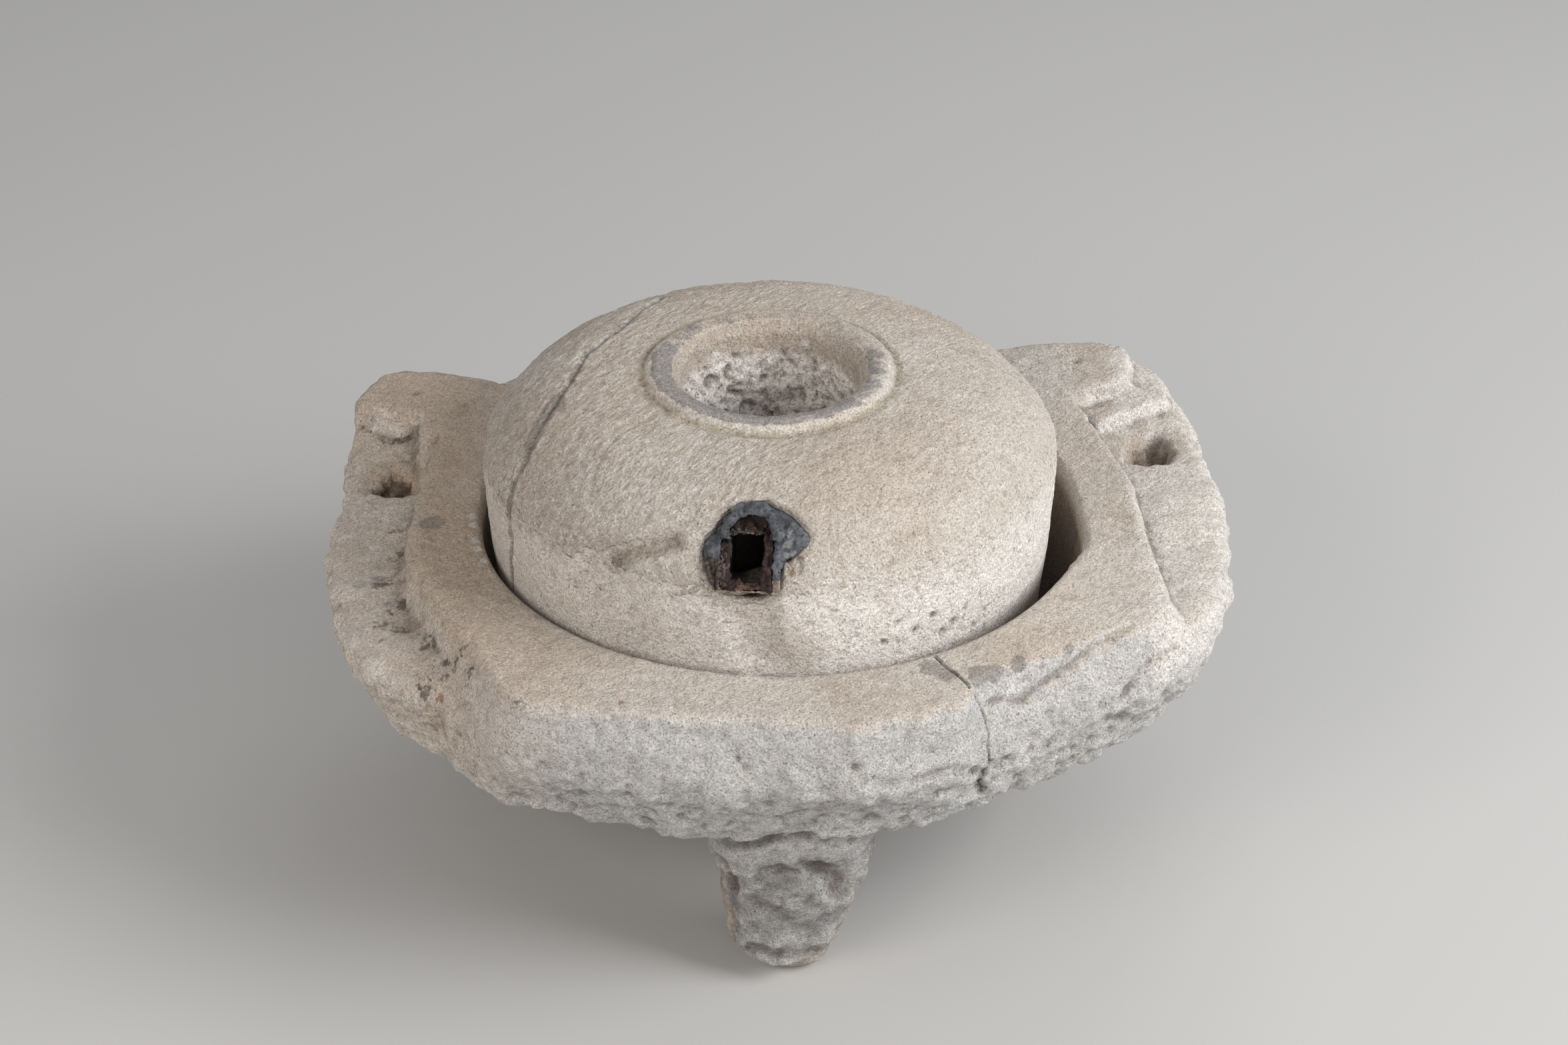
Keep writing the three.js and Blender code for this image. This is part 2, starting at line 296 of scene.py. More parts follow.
def between(tree, value, low, high, least=0.0, most=1.0):
    return addNode(tree, "ShaderNodeMapRange", {0: value, 1: low, 2: high, 3: least, 4: most},
                   interpolation_type="SMOOTHSTEP")


def cloud(tree, where, scale, detail=4.0, roughness=0.55):
    return addNode(tree, "ShaderNodeTexNoise",
                   {"Vector": where, "Scale": scale, "Detail": detail, "Roughness": roughness})


def painted(tree, name):
    return addNode(tree, "ShaderNodeAttribute", {}, output=2, attribute_name=name)


stainEdge = (0.34, 0.72)  # where a painted stain starts and where it is full
stainFade = 0.06  # and it fades out where less than this is painted


def stained(tree, colour, where, stains):  # painted stains, their edges broken up by noise
    for name, (stainColour, strength, grain, ragged) in stains.items():
        noise = maths(tree, "SUBTRACT", cloud(tree, where, grain, 5, 0.65), 0.5)
        amount = maths(tree, "ADD", painted(tree, name), times(tree, noise, ragged))
        amount = times(tree, between(tree, amount, *stainEdge), strength)
        amount = times(tree, amount, between(tree, painted(tree, name), 0.0, stainFade))
        colour = tint(tree, amount, colour, stainColour)
    return colour


def newMaterial(name):
    material = bpy.data.materials.new(name)
    material.use_nodes = True
    tree = material.node_tree
    shader = tree.nodes["Principled BSDF"]
    where = addNode(tree, "ShaderNodeTexCoord", {}, output="Object")
    return material, tree, shader, where


# camera, floor and light

view = {
    "distance": 2.4,
    "elevation": 31.26,
    "lens": 78.19,
    "sensor": 36,
    "aimRight": 0.0029,
    "aimUp": -0.0115,
}

studio = {
    "floorSize": 16,
    "floorColour": (0.50, 0.50, 0.495),
    "skyColour": (0.335, 0.34, 0.35),
    "lampAim": (0, 0, 0.2),
    "lamps": [  # place, size, power, colour
        ((2.58, -0.94, 1.85), 1.7, 100, (1.0, 0.99, 0.975)),
        ((-1.78, -2.12, 1.75), 1.6, 40, (1.0, 0.92, 0.83)),
        ((0.4, -2.9, 1.3), 1.2, 9, (1.0, 0.99, 0.98)),
        ((0.6, 2.1, 2.4), 1.6, 12, (1.0, 0.99, 0.98)),
    ],
}


def setStage():
    tilt = math.radians(view["elevation"])
    middle = Vector(mouthCentre)
    back = Vector((0, -math.cos(tilt), math.sin(tilt)))
    up = Vector((0, math.sin(tilt), math.cos(tilt)))
    place = middle + back * view["distance"]
    aim = middle + Vector((view["aimRight"], 0, 0)) + up * view["aimUp"]
    turn = (aim - place).to_track_quat("-Z", "Y").to_euler()
    bpy.ops.object.camera_add(location=place, rotation=turn)
    camera = bpy.context.object
    camera.data.lens = view["lens"]
    camera.data.sensor_width = view["sensor"]
    bpy.context.scene.camera = camera

    bpy.ops.mesh.primitive_plane_add(size=studio["floorSize"])
    floor = bpy.context.object
    floor.name = "studioFloor"
    paper, _, shader, _ = newMaterial("floorPaper")
    shader.inputs["Base Color"].default_value = (*studio["floorColour"], 1)
    shader.inputs["Roughness"].default_value = 0.9
    floor.data.materials.append(paper)

    for place, size, power, colour in studio["lamps"]:
        turn = (Vector(studio["lampAim"]) - Vector(place)).to_track_quat("-Z", "Y").to_euler()
        bpy.ops.object.light_add(type="AREA", location=place, rotation=turn)
        lamp = bpy.context.object.data
        lamp.size = size
        lamp.energy = power
        lamp.color = colour

    sky = bpy.data.worlds.new("studioSky")
    sky.use_nodes = True
    sky.node_tree.nodes["Background"].inputs["Color"].default_value = (*studio["skyColour"], 1)
    bpy.context.scene.world = sky
    bpy.context.scene.view_settings.view_transform = "Standard"


setStage()
print("camera, floor and lamps set")


# the sandstone of both stones

noiseScale = {  # scale of each noise, finer as it rises
    "broad": 9, "sooty": 34, "patchy": 46, "specks": 165, "lumps": 210, "strokes": 290, "grit": 620,
    "pores": 720, "grains": 950,
}


def sandstone(name, look):
    material, tree, shader, where = newMaterial(name)
    broad = between(tree, cloud(tree, where, noiseScale["broad"], 5), 0.36, 0.66)
    colour = tint(tree, broad, look["pale"], look["warm"])
    patchy = between(tree, cloud(tree, where, noiseScale["patchy"], 6, 0.62), 0.48, 0.74)
    colour = tint(tree, times(tree, patchy, look["patchy"]), colour, look["brown"])
    colour = tint(tree, times(tree, painted(tree, "cool"), 0.85), colour, look["cool"])
    colour = tint(tree, painted(tree, "tan"), colour, look["tan"])
    # grime, and painted shade, where they are painted, broken into blotches by noise
    sooty = between(tree, cloud(tree, where, noiseScale["sooty"], 6, 0.65), 0.36, 0.64, 0.55, 1.25)
    colour = tint(tree, times(tree, painted(tree, "grimy"), sooty), colour, look["grime"])
    colour = stained(tree, colour, where, look["stains"])

    # dirt lies in the hollows and the crests are rubbed pale
    dirt = times(tree, painted(tree, "hollow"), look["dirtAmount"])
    colour = tint(tree, dirt, colour, look["dirt"])
    crest = times(tree, painted(tree, "crest"), look["crestAmount"])
    colour = tint(tree, crest, colour, look["crest"])

    # brown specks, single grains and small dark pores
    specks = between(tree, cloud(tree, where, noiseScale["specks"], 7, 0.72), 0.50, 0.68)
    colour = tint(tree, times(tree, specks, look["specks"]), colour, look["brown"])
    grains = addNode(tree, "ShaderNodeTexVoronoi", {"Vector": where, "Scale": noiseScale["grains"]},
                     output="Color")
    grainValue = addNode(tree, "ShaderNodeSeparateColor", {0: grains})
    shade = addNode(tree, "ShaderNodeMapRange", {0: grainValue, 1: 0.0, 2: 1.0, 3: 0.74, 4: 1.22})
    colour = tint(tree, 1.0, colour, shade, "MULTIPLY")
    pores = between(tree, cloud(tree, where, noiseScale["pores"], 3, 0.6), 0.61, 0.70)
    colour = tint(tree, times(tree, pores, look["pores"]), colour, look["dirt"])
    slanted = addNode(tree, "ShaderNodeMapping", {"Vector": where, "Rotation": (0, 0, look["strokeTurn"]),
                                                  "Scale": (3, 1, 1)}, vector_type="TEXTURE")
    strokes = times(tree, cloud(tree, slanted, noiseScale["strokes"], 4, 0.62), painted(tree, "struck"))
    shadows = times(tree, between(tree, strokes, 0.58, 0.40), painted(tree, "struck"))
    colour = tint(tree, times(tree, shadows, 0.40), colour, look["brown"])
    colour = tint(tree, painted(tree, "seam"), colour, look["seam"])
    plug(tree, shader.inputs["Base Color"], colour)
    shader.inputs["Roughness"].default_value = 0.93
    shader.inputs["Specular IOR Level"].default_value = 0.25

    # grit, and the slanting strokes of the pick
    height = cloud(tree, where, noiseScale["grit"], 4, 0.65)
    height = maths(tree, "ADD", height, times(tree, cloud(tree, where, noiseScale["lumps"], 5, 0.65), 1.7))
    height = maths(tree, "SUBTRACT", height, times(tree, pores, 0.5))
    height = maths(tree, "ADD", height, times(tree, strokes, 3.5))
    bump = addNode(tree, "ShaderNodeBump", {"Height": height, "Distance": look["bump"], "Strength": 1.0})
    plug(tree, shader.inputs["Normal"], bump)
    return material


slateStain = (0.150, 0.148, 0.150)
lichenStain = (0.045, 0.040, 0.034)
chalkStain = (0.80, 0.79, 0.78)
# pale tint for painted light on lit faces
paleAndLitTint = (0.88, 0.84, 0.79)
rustStain = (0.30, 0.165, 0.085)
mortarGrey = (0.270, 0.255, 0.235)
# dark brown for pits, and for painted shadow deep in the lug holes
darkMarkAndShadeTint = (0.095, 0.060, 0.038)
mossStain = (0.40, 0.36, 0.22)


# the lower stone with its basin, lugs and legs

basin = {
    "voxel": 0.0022,
    "softRounds": 6,
    "triangles": 172000,
    "grindingFloor": 0.165,
    "carvings": [  # floor and roof corners of the sunk ends of the lugs and of the right-hand ledge
        ("DIFFERENCE",
         [(-0.340, 0.061, 0.2215), (-0.279, 0.0585, 0.214), (-0.340, 0.158, 0.232), (-0.279, 0.126, 0.230)],
         [(-0.340, 0.061, 0.280), (-0.279, 0.0585, 0.280), (-0.340, 0.190, 0.280), (-0.279, 0.158, 0.280)]),
        ("DIFFERENCE",
         [(-0.280, 0.0585, 0.214), (-0.260, 0.057, 0.208), (-0.280, 0.126, 0.230), (-0.264, 0.127, 0.234)],
         [(-0.280, 0.0585, 0.280), (-0.250, 0.057, 0.280), (-0.280, 0.158, 0.280), (-0.252, 0.156, 0.280)]),
        ("DIFFERENCE",
         [(-0.286, 0.064, 0.188), (-0.268, 0.062, 0.188), (-0.279, 0.070, 0.190), (-0.274, 0.070, 0.190)],
         [(-0.299, 0.058, 0.238), (-0.260, 0.056, 0.238), (-0.284, 0.116, 0.238), (-0.270, 0.114, 0.238)]),
        ("UNION",
         [(0.252, 0.122, 0.212), (0.308, 0.166, 0.212), (0.212, 0.180, 0.212), (0.296, 0.225, 0.212)],
         [(0.236, 0.138, 0.2395), (0.292, 0.180, 0.2395), (0.212, 0.180, 0.2395), (0.284, 0.225, 0.2395)]),
        ("UNION",
         [(0.229, 0.156, 0.236), (0.269, 0.182, 0.236), (0.212, 0.195, 0.236), (0.250, 0.225, 0.236)],
         [(0.221, 0.167, 0.2497), (0.262, 0.193, 0.2497), (0.212, 0.195, 0.2497), (0.245, 0.225, 0.2497)]),
        ("DIFFERENCE",
         [(0.262, 0.096, 0.198), (0.282, 0.096, 0.198), (0.268, 0.122, 0.206), (0.280, 0.126, 0.206)],
         [(0.244, 0.094, 0.260), (0.294, 0.094, 0.260), (0.252, 0.156, 0.260), (0.296, 0.166, 0.260)]),
        ("DIFFERENCE",
         [(0.269, 0.184, 0.2395), (0.340, 0.184, 0.233), (0.276, 0.290, 0.2395), (0.340, 0.290, 0.233)],
         [(0.252, 0.184, 0.270), (0.340, 0.184, 0.270), (0.258, 0.290, 0.270), (0.340, 0.290, 0.270)]),
    ],
    "lugs": [  # lines along the sunk ends and their steps, which keep their edges
        [(-0.283, 0.065, 0), (-0.292, 0.145, 0)],
        [(0.276, 0.095, 0), (0.258, 0.205, 0)],
    ],
    "lugHoles": [(-0.280, 0.082, 0.215, 0.036), (0.274, 0.116, 0.215, 0.030)],
    # painted shadow: dark spots deep in the holes of the lugs
    "deepHoles": [
        (-0.278, 0.074, 0.200, 0.020), (-0.281, 0.066, 0.190, 0.024), (-0.277, 0.087, 0.212, 0.013),
        (0.268, 0.104, 0.203, 0.014),
    ],
    "leftStep": [  # x, y, z, radius
        (-0.262, 0.136, 0.242, 0.022), (-0.280, 0.136, 0.242, 0.022), (-0.296, 0.142, 0.242, 0.020),
    ],
    "stepFoot": [
        (-0.311, 0.143, 0.233), (-0.288, 0.126, 0.231), (-0.273, 0.126, 0.231), (-0.262, 0.133, 0.236),
    ],
    "flankSwell": 0.005,
    "flankRounds": 130,
    "wornCorners": [(-0.215, -0.165, 0.243, 0.050), (0.247, -0.147, 0.245, 0.042)],
    "wornRounds": 70,
    "softEdges": [  # weathered arrises of the lugs
        (-0.296, 0.142, 0.246, 0.022), (-0.280, 0.138, 0.246, 0.022), (-0.262, 0.136, 0.246, 0.024),
        (-0.256, 0.108, 0.243, 0.022), (-0.256, 0.085, 0.241, 0.022), (-0.258, 0.062, 0.238, 0.020),
        (-0.278, 0.062, 0.220, 0.020), (0.238, 0.142, 0.238, 0.014),
    ],
    "hewing": [
        ("CLOUDS", 0.110, 0.0090, "flank", 1.0, 0),
        ("VORONOI", 0.034, 0.0026, "hewn", 2.6, 12),
        ("CLOUDS", 0.024, 0.0078, "hewn", 3.0, 12),
        ("CLOUDS", 0.012, 0.0050, "hewn", 2.4, 12),
        ("CLOUDS", 0.042, 0.0085, "flank", 1.8, 12),
        ("CLOUDS", 0.050, 0.0260, "leg", 1.0, 0),
        ("CLOUDS", 0.020, 0.0040, "leg", 1.0, 0),
        ("CLOUDS", 0.020, 0.0070, "edge", 1.0, 0),
        ("CLOUDS", 0.100, 0.0036, "dressed", 1.0, 0),
        ("CLOUDS", 0.018, 0.0022, "dressed", 1.0, 0),
        ("CLOUDS", 0.008, 0.0022, "outside", 1.0, 0),
    ],
    "pits": [  # x, y, z, radius
        (0.227, 0.213, 0.250, 0.004), (-0.268, 0.162, 0.252, 0.004), (-0.021, -0.268, 0.217, 0.004),
        (-0.024, -0.267, 0.224, 0.003), (0.050, -0.276, 0.222, 0.004), (-0.107, -0.242, 0.173, 0.005),
        (0.057, -0.266, 0.187, 0.005), (0.011, -0.261, 0.180, 0.004),
    ],
    "pitDepth": 0.0022,
    "crack": [
        (0.104, -0.189, 0.249), (0.110, -0.200, 0.250), (0.120, -0.215, 0.250), (0.127, -0.227, 0.2475),
        (0.130, -0.225, 0.2385), (0.133, -0.222, 0.2265), (0.135, -0.223, 0.211), (0.136, -0.226, 0.2035),
        (0.1345, -0.222, 0.189), (0.135, -0.215, 0.173), (0.133, -0.210, 0.160),
    ],
    "legGrime": 0.66,
    "smudgeGrime": 0.85,
    "lichenAmount": 0.62,
    "crackHalfWidth": 0.0013,
    "crackDepth": 0.0032,
    "refineWithin": 0.006,  # finer faces this near the crack
    "grooves": [  # path, half width, depth
        ([(0.137, -0.218, 0.233), (0.159, -0.2015, 0.2245), (0.1775, -0.191, 0.232), (0.199, -0.179, 0.238),
          (0.209, -0.172, 0.245), (0.2365, -0.1525, 0.250)], 0.0055, 0.0026),
        ([(0.215, -0.177, 0.203), (0.227, -0.1705, 0.203), (0.240, -0.161, 0.215), (0.265, -0.149, 0.230)],
         0.005, 0.0018),
        ([(0.058, -0.276, 0.212), (0.075, -0.2725, 0.206), (0.093, -0.266, 0.2045), (0.1185, -0.255, 0.205),
          (0.133, -0.222, 0.187)], 0.006, 0.0022),
    ],
    "legMarks": [  # path, half width, depth
        ([(-0.033, -0.213, 0.078), (-0.015, -0.227, 0.100), (0.005, -0.230, 0.106), (0.026, -0.229, 0.110)],
         0.009, 0.0030),
        ([(0.030, -0.228, 0.102), (0.037, -0.224, 0.094), (0.044, -0.218, 0.078)], 0.011, 0.0030),
        ([(-0.025, -0.207, 0.031), (-0.007, -0.215, 0.030), (0.016, -0.215, 0.025), (0.041, -0.208, 0.030)],
         0.008, 0.0034),
        ([(-0.035, -0.219, 0.105), (-0.030, -0.212, 0.066), (-0.026, -0.208, 0.037)], 0.010, 0.0020),
        ([(-0.033, -0.227, 0.127), (-0.006, -0.235, 0.136), (0.025, -0.242, 0.144), (0.060, -0.240, 0.142)],
         0.009, 0.0018),
    ],
    "slate": [
        (0.101, -0.204, 0.250, 0.011), (0.111, -0.211, 0.250, 0.010), (0.133, -0.209, 0.250, 0.010),
        (0.142, -0.207, 0.249, 0.009), (0.1305, -0.216, 0.2495, 0.007), (0.159, -0.1955, 0.248, 0.008),
        (0.193, -0.178, 0.248, 0.005), (-0.2895, -0.056, 0.220, 0.007), (-0.241, -0.021, 0.250, 0.011),
        (0.211, -0.006, 0.223, 0.014), (0.310, -0.001, 0.234, 0.008),
    ],
    "lichen": [  # broad marks that the noise breaks into blots
        (-0.275, -0.054, 0.220, 0.012), (-0.262, -0.082, 0.219, 0.011), (-0.270, -0.104, 0.219, 0.010),
        (-0.257, -0.112, 0.220, 0.009), (-0.270, 0.012, 0.224, 0.006), (-0.234, -0.172, 0.2125, 0.009),
        (-0.216, -0.168, 0.226, 0.013), (-0.229, -0.136, 0.222, 0.010), (-0.2025, -0.187, 0.236, 0.009),
        (-0.208, -0.172, 0.244, 0.006), (-0.164, -0.242, 0.247, 0.006), (-0.268, -0.022, 0.221, 0.008),
    ],
    "chalk": [
        (-0.212, -0.012, 0.250, 0.005), (-0.211, -0.024, 0.250, 0.005), (-0.209, -0.045, 0.250, 0.005),
        (-0.206, -0.055, 0.250, 0.004), (-0.201, -0.070, 0.250, 0.004), (-0.250, -0.026, 0.236, 0.009),
    ],
    "rust": [
        (-0.224, -0.152, 0.224, 0.0035), (-0.223, -0.179, 0.210, 0.0045), (-0.268, -0.124, 0.220, 0.003),
        (-0.100, -0.242, 0.250, 0.003), (-0.113, -0.255, 0.229, 0.003), (0.062, -0.274, 0.2145, 0.003),
    ],
    "look": {
        "pale": (0.74, 0.690, 0.635), "warm": (0.68, 0.605, 0.530), "brown": (0.37, 0.300, 0.235),
        "cool": (0.58, 0.580, 0.580), "tan": (0.50, 0.375, 0.275), "dirt": (0.125, 0.095, 0.070),
        "grime": (0.215, 0.212, 0.208), "crest": (0.78, 0.76, 0.735), "seam": (0.012, 0.010, 0.009),
        "patchy": 0.40, "specks": 0.42, "pores": 0.62,
        "dirtAmount": 0.65, "crestAmount": 0.32, "bump": 0.0019,
        "strokeTurn": math.radians(-128),
        "stains": {  # colour, strength, grain of the edge, raggedness
            "slate": (slateStain, 0.55, 120, 1.8), "mortar": (mortarGrey, 0.7, 170, 1.2),
            "lichen": (lichenStain, 0.80, 150, 2.6), "chalk": (chalkStain, 0.7, 220, 1.2),
            "rust": (rustStain, 0.7, 220, 1.0), "moss": (mossStain, 0.35, 60, 1.6),
            "pitted": (darkMarkAndShadeTint, 0.85, 140, 2.0), "bleach": (paleAndLitTint, 0.75, 40, 0.8),
        },
    },
}


def wearBasin(stone):
    co, out = places(stone), facings(stone)
    x, _, z = co.T
    fromMouth = awayFrom(co, mouthCentre)
    dressed = (out[:, 2] > 0.85) & (z > 0.244) & (fromMouth > 0.205)
    drop = gapTo(co, co[dressed])
    plan = co * (1, 1, 0)
    fromLugs = np.minimum(*(nearLine(plan, line) for line in basin["lugs"]))
    lugs = (1 - ease(fromLugs, 0.036, 0.056)) * (1 - ease(np.abs(x), 0.300, 0.312))
    outer = ease(fromMouth, 0.222, 0.235) * ease(z, 0.105, 0.135)
    flank = ease(drop, 0.008, 0.030) * outer * (1 - lugs)
    weigh(stone, "side", flank * (1 - ease(out[:, 2], 0.2, 0.7)))
    swell(stone, "side", basin["flankSwell"])
    weigh(stone, "flank", flank)
    applied(stone, "SMOOTH", factor=0.5, iterations=basin["flankRounds"], vertex_group="flank")
    weigh(stone, "worn", np.maximum(spots(co, basin["wornCorners"]), spots(co, basin["softEdges"]) * 0.16))
    applied(stone, "SMOOTH", factor=0.5, iterations=basin["wornRounds"], vertex_group="worn")
    return drop


def hewBasin(stone, drop):
    co, out = places(stone), facings(stone)
    z = co[:, 2]
    fromMouth = awayFrom(co, mouthCentre)
    inside = (1 - ease(fromMouth, 0.2115, 0.2150)) * ease(z, 0.155, 0.163)
    foot = 1 - ease(z, 0.004, 0.02)
    top = ease(out[:, 2], 0.55, 0.85) * ease(z, 0.19, 0.21) * (1 - inside)
    side = np.clip(1 - top - inside, 0, 1) * (1 - foot)
    leg = 1 - ease(z, 0.100, 0.135)
    weigh(stone, "hewn", side * (0.24 + 0.76 * ease(drop, 0.026, 0.068)) * (1 - 0.75 * leg))
    weigh(stone, "leg", leg * (1 - foot))
    weigh(stone, "edge", side * (1 - ease(drop, 0.006, 0.014)))
    weigh(stone, "dressed", top)
    weigh(stone, "outside", (1 - inside) * (1 - foot))
    roughen(stone, basin["hewing"])
    under = ease(-out[:, 2], 0.6, 0.85) * (1 - ease(z, 0.15, 0.19))
    thinned(stone, basin["triangles"], np.maximum(inside * (z < 0.232), under))


def paintBasin(stone, crack):
    co, out = places(stone), facings(stone)
    x, y, z = co.T
    fromMouth = awayFrom(co, mouthCentre)
    paintRelief(stone, 0.0009, 0.0032, 1 - 0.75 * ease(z, 0.232, 0.242))
    side = (1 - ease(out[:, 2], 0.40, 0.80)) * ease(fromMouth, 0.214, 0.22)
    paint(stone, "cool", side * ease(x, -0.25, -0.12))
    left = (1 - ease(x, -0.25, -0.10)) * ease(z, 0.13, 0.2)
    throat = (1 - ease(fromMouth, 0.2105, 0.214)) * (1 - ease(z, 0.235, 0.249))
    recess = spots(co, basin["lugHoles"])
    rightLug = ease(x, 0.215, 0.235) * ease(y, 0.085, 0.105) * ease(z, 0.19, 0.20)
    level = rightLug * ease(out[:, 2], 0.80, 0.95)
    left *= 0.30 + 0.35 * ease(z, 0.236, 0.246)
    paint(stone, "tan", np.max([left, throat * 0.7, recess * 0.75, level * 0.25], axis=0))
    # painted light: lit faces are painted paler, the step faces of both lugs and the right-hand shelf and
    # side, and the left shelf a little paler too
    steps = rightLug * (1 - ease(out[:, 2], 0.74, 0.95)) * (1 - recess)
    face = spots(co, basin["leftStep"]) * (1 - ease(out[:, 2], 0.80, 0.96))
    outside = ease(x, 0.238, 0.256) * ease(z, 0.19, 0.21) * (1 - recess)
    shelf = (1 - ease(x, -0.264, -0.252)) * ease(z, 0.19, 0.21) * (1 - recess)
    shelf *= 1 - ease(y, 0.04, 0.06)
    paint(stone, "bleach", np.max([steps, face * 0.52, outside * 0.62, shelf * 0.44,
                                    side * ease(x, 0.07, 0.16) * 0.42], axis=0))
    paint(stone, "chalk", spots(co, basin["chalk"]))
    dirty = (1 - ease(nearLine(co, basin["stepFoot"]), 0.001, 0.006)) * 0.55
    # painted shadow deep in the lug holes, and a dark line along the foot of the left step
    paint(stone, "pitted", np.maximum(spots(co, basin["deepHoles"]) * 0.85, dirty))
    # painted shade: the legs are painted darker grey, less at the very foot, for the shade under the
    # overhang; the smudges along the leg marks are grime
    leg = (1 - ease(z, 0.105, 0.135)) * (0.45 + 0.55 * ease(z, 0.008, 0.022))
    marks = [laidOn(stone, path) for path, *_ in basin["legMarks"][1:]]
    smudges = np.max([1 - ease(nearLine(co, mark), 0.002, 0.014) for mark in marks], axis=0)
    smudges *= 1 - ease(z, 0.125, 0.150)
    paint(stone, "grimy", np.maximum(leg * basin["legGrime"], smudges * basin["smudgeGrime"]))
    for stain in ("slate", "rust"):
        paint(stone, stain, spots(co, basin[stain]))
    paint(stone, "lichen", spots(co, laidMarks(stone, basin["lichen"])) * basin["lichenAmount"])
    fromCrack = nearLine(co, crack)
    paint(stone, "mortar", (1 - ease(fromCrack, 0.002, 0.006)) * (1 - ease(z, 0.17, 0.235)) * 0.8)
    paint(stone, "moss", ease(x, 0.255, 0.285) * ease(z, 0.19, 0.215) * 0.40)
    paint(stone, "seam", (1 - ease(fromCrack, 0.0006, 0.0014)) * (0.5 + 0.5 * ease(z, 0.205, 0.240)))
    paint(stone, "struck", ease(out[:, 2], 0.7, 0.9) * 0.35)


def makeBasin():
    stone = solidCopy("lower_stone", "basinStone")
    for operation, floor, roof in basin["carvings"]:
        carve(stone, operation, floor, roof)
    evenMesh(stone, basin["voxel"], basin["softRounds"])
    hewBasin(stone, wearBasin(stone))
    for path, halfWidth, depth in basin["grooves"] + basin["legMarks"]:
        cutLine(stone, laidOn(stone, path), halfWidth, depth)
    sink(stone, spots(places(stone), laidMarks(stone, basin["pits"])) * basin["pitDepth"])
    crack = laidOn(stone, basin["crack"])
    refineNear(stone, nearLine(places(stone), crack) < basin["refineWithin"], 2)
    share = 0.3 + 0.7 * ease(places(stone)[:, 2], 0.205, 0.240)
    cutLine(stone, crack, basin["crackHalfWidth"], basin["crackDepth"], share)

    # the feet stand flat and the grinding floor stays level
    co = places(stone)
    co[:, 2] = np.maximum(co[:, 2], 0)
    floor = (awayFrom(co, mouthCentre) < 0.202) & (co[:, 2] > 0.158) & (co[:, 2] < 0.168)
    co[floor, 2] = np.minimum(co[floor, 2], basin["grindingFloor"])
    put(stone, co)

    paintBasin(stone, crack)
    stone.data.materials.append(sandstone("basinSandstone", basin["look"]))
    finished(stone, "lower_stone", "lower_stone")


makeBasin()


# where the handle socket sits in the runner's shoulder

socketSpot = np.array((-0.01707, -0.18843, 0.3295))
socketTurn, socketTilt = math.radians(-94), math.radians(30)
socketOut = np.array((math.cos(socketTurn) * math.cos(socketTilt),
                      math.sin(socketTurn) * math.cos(socketTilt), math.sin(socketTilt)))
socketAcross = np.array((-math.sin(socketTurn), math.cos(socketTurn), 0.0))
socketRise = np.cross(socketOut, socketAcross)
holeShift = 0.0018  # the iron sits this far left of the middle


def onSocket(co):  # across, rise and height over the socket's face
    rel = co - socketSpot
    return rel @ socketAcross, rel @ socketRise, rel @ socketOut


def patch(co, across, rise, halfWidth, halfHeight, reach=0.03):  # soft oval on the socket's face
    a, r, h = onSocket(co)
    away = np.hypot((a - across) / halfWidth, (r - rise) / halfHeight)
    return (1 - ease(away, 0.7, 1.15)) * (np.abs(h) < reach)


# the runner with its collar and hopper

